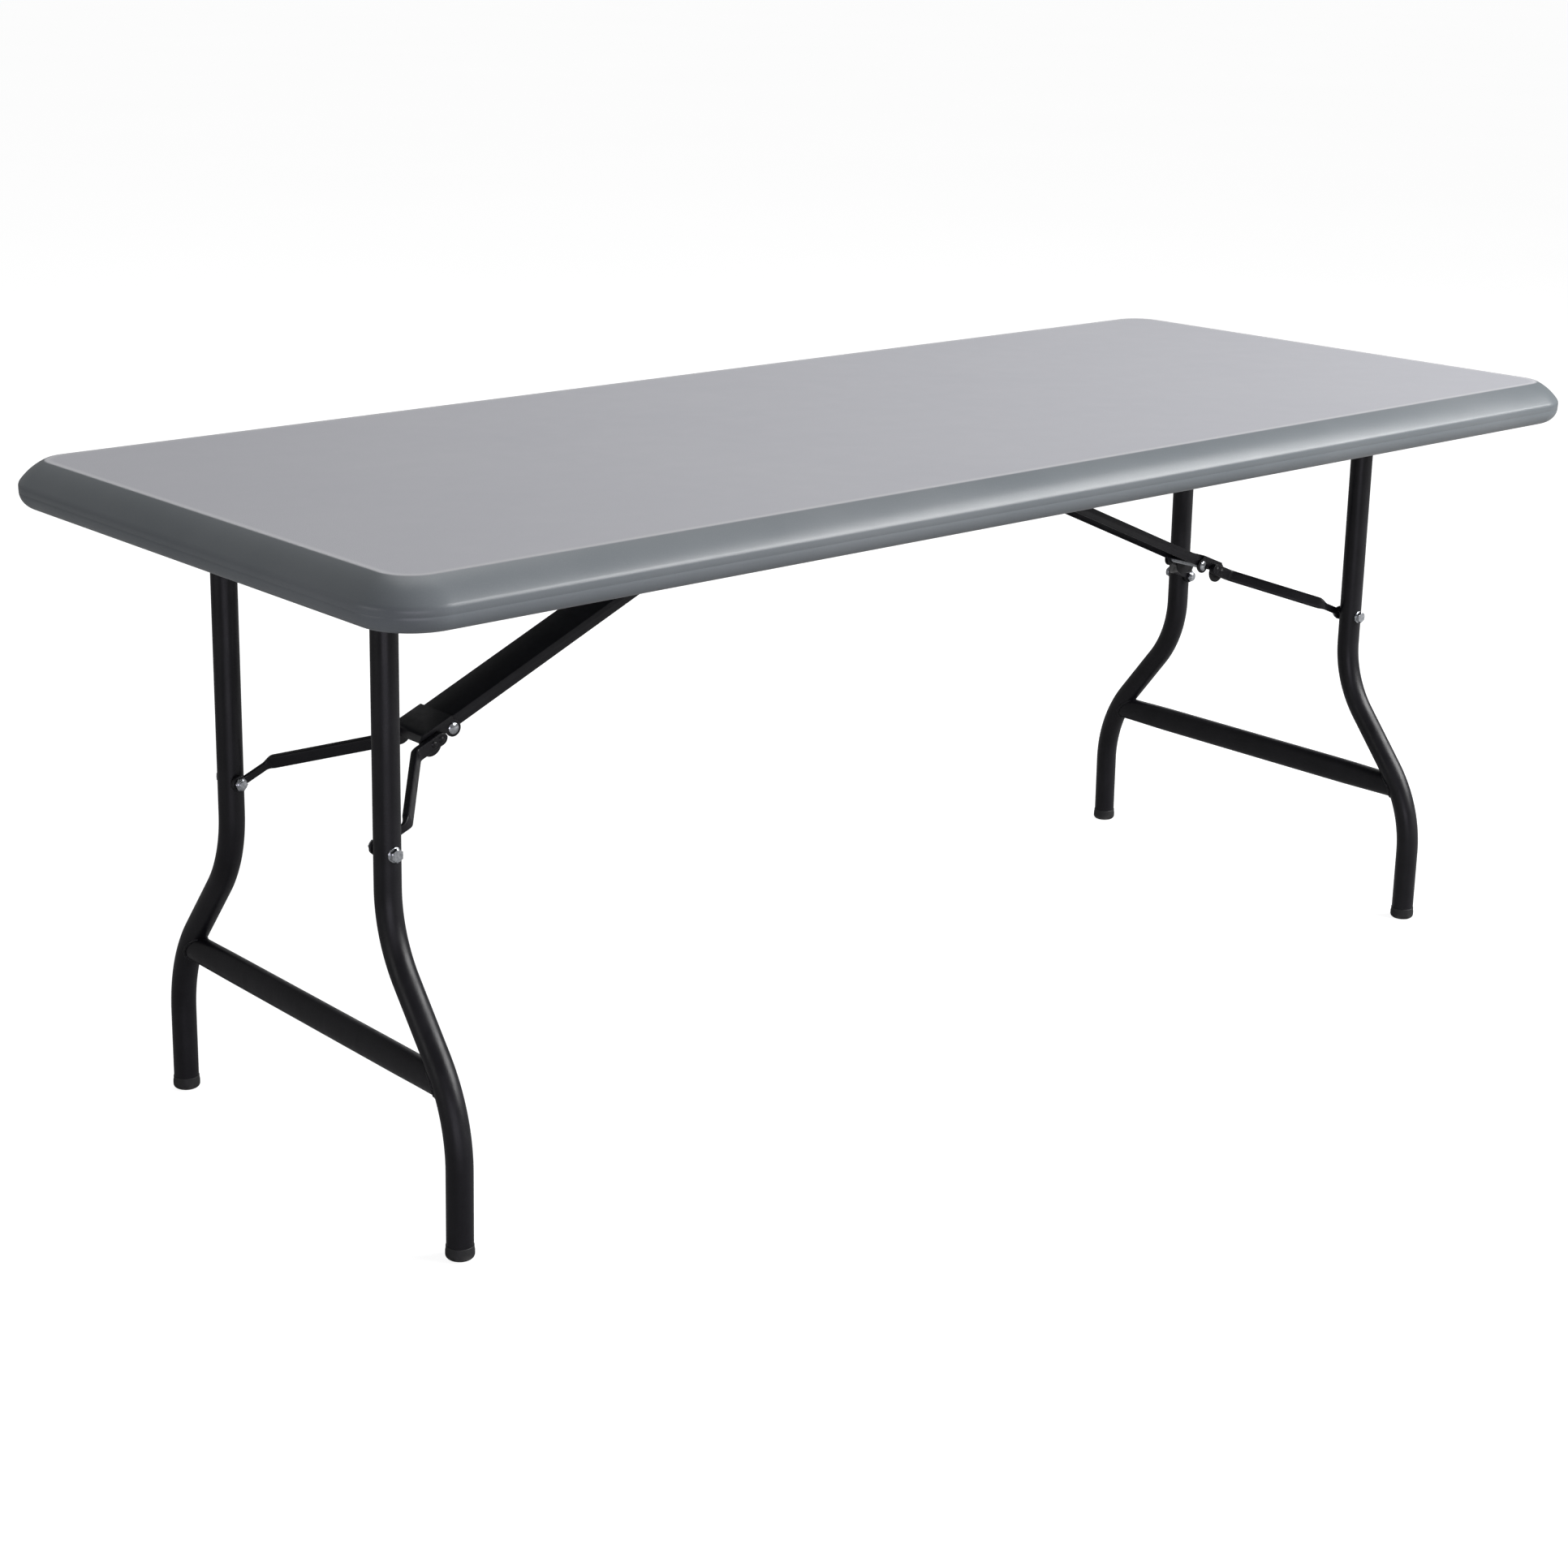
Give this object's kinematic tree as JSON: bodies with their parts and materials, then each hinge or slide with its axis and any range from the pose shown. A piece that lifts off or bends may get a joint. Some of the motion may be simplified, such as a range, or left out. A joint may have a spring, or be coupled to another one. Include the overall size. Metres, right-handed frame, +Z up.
{
  "type": "folding table",
  "caption": "Rectangular folding table with a grey moulded top, bevelled rim and two black wishbone leg frames held by knee-jointed braces that fold flat underneath.",
  "frame": {"origin": "on the floor under the middle of the table top", "axes": "+X along the table's length, +Y across its width, +Z up"},
  "size_m": [1.829, 0.762, 0.7366],
  "materials": {
    "grey_polyethylene": "fine-grained moulded polyethylene, low sheen",
    "black_powder_coat": "satin black powder coat over steel",
    "bright_zinc": "bright zinc plate",
    "black_foot_plastic": "moulded black plastic, slightly worn underneath",
    "bush_nylon": "natural nylon"
  },
  "bodies": {
    "table": {"table_top": "grey_polyethylene", "side_rail_front": "black_powder_coat", "side_rail_back": "black_powder_coat", "centre_crossmember": "black_powder_coat", "brace_clevis_left": "black_powder_coat", "brace_clevis_right": "black_powder_coat", "clevis_rivets": "bright_zinc", "brace_pin_left": "bright_zinc", "brace_pin_right": "bright_zinc", "pivot_bushes": "bush_nylon", "panel_screws": "bright_zinc"},
    "leg_frame_left": {"leg_left_front": "black_powder_coat", "leg_left_back": "black_powder_coat", "pivot_tube_left": "black_powder_coat", "crossbar_left": "black_powder_coat", "foot_cap_left_front": "black_foot_plastic", "foot_cap_left_back": "black_foot_plastic", "leg_bolts_left": "bright_zinc"},
    "brace_left": {"brace_channel_left": "black_powder_coat"},
    "yoke_left": {"yoke_plate_left": "black_powder_coat", "yoke_arm_left_front": "black_powder_coat", "yoke_arm_left_back": "black_powder_coat", "knee_pin_left": "bright_zinc", "arm_rivets_left": "black_powder_coat", "arm_nuts_left": "bright_zinc"},
    "leg_frame_right": {"leg_right_front": "black_powder_coat", "leg_right_back": "black_powder_coat", "pivot_tube_right": "black_powder_coat", "crossbar_right": "black_powder_coat", "foot_cap_right_front": "black_foot_plastic", "foot_cap_right_back": "black_foot_plastic", "leg_bolts_right": "bright_zinc"},
    "brace_right": {"brace_channel_right": "black_powder_coat"},
    "yoke_right": {"yoke_plate_right": "black_powder_coat", "yoke_arm_right_front": "black_powder_coat", "yoke_arm_right_back": "black_powder_coat", "knee_pin_right": "bright_zinc", "arm_rivets_right": "black_powder_coat", "arm_nuts_right": "bright_zinc"}
  },
  "joints": [
    {"name": "leg_left_fold", "type": "hinge", "parent": "table", "child": "leg_frame_left", "pos_m": [-0.77338, 0, 0.698], "axis": [0, -1, 0], "range_deg": [0, 91.2]},
    {"name": "brace_left_swing", "type": "hinge", "parent": "table", "child": "brace_left", "pos_m": [-0.0501, 0, 0.712], "axis": [0, -1, 0], "range_deg": [-23.13, 0]},
    {"name": "knee_left_fold", "type": "hinge", "parent": "brace_left", "child": "yoke_left", "pos_m": [-0.61106, 0, 0.4725], "axis": [0, -1, 0], "range_deg": [0, 176.31]},
    {"name": "leg_right_fold", "type": "hinge", "parent": "table", "child": "leg_frame_right", "pos_m": [0.77338, 0, 0.698], "axis": [0, 1, 0], "range_deg": [0, 91.2]},
    {"name": "brace_right_swing", "type": "hinge", "parent": "table", "child": "brace_right", "pos_m": [0.0501, 0, 0.712], "axis": [0, 1, 0], "range_deg": [-23.13, 0]},
    {"name": "knee_right_fold", "type": "hinge", "parent": "brace_right", "child": "yoke_right", "pos_m": [0.61106, 0, 0.4725], "axis": [0, 1, 0], "range_deg": [0, 176.31]}
  ],
  "couplings": [
    {"joint": "brace_left_swing", "follows": "leg_left_fold", "ratio": -0.25351},
    {"joint": "knee_left_fold", "follows": "leg_left_fold", "ratio": 1.9331},
    {"joint": "brace_right_swing", "follows": "leg_right_fold", "ratio": -0.25351},
    {"joint": "knee_right_fold", "follows": "leg_right_fold", "ratio": 1.9331}
  ]
}
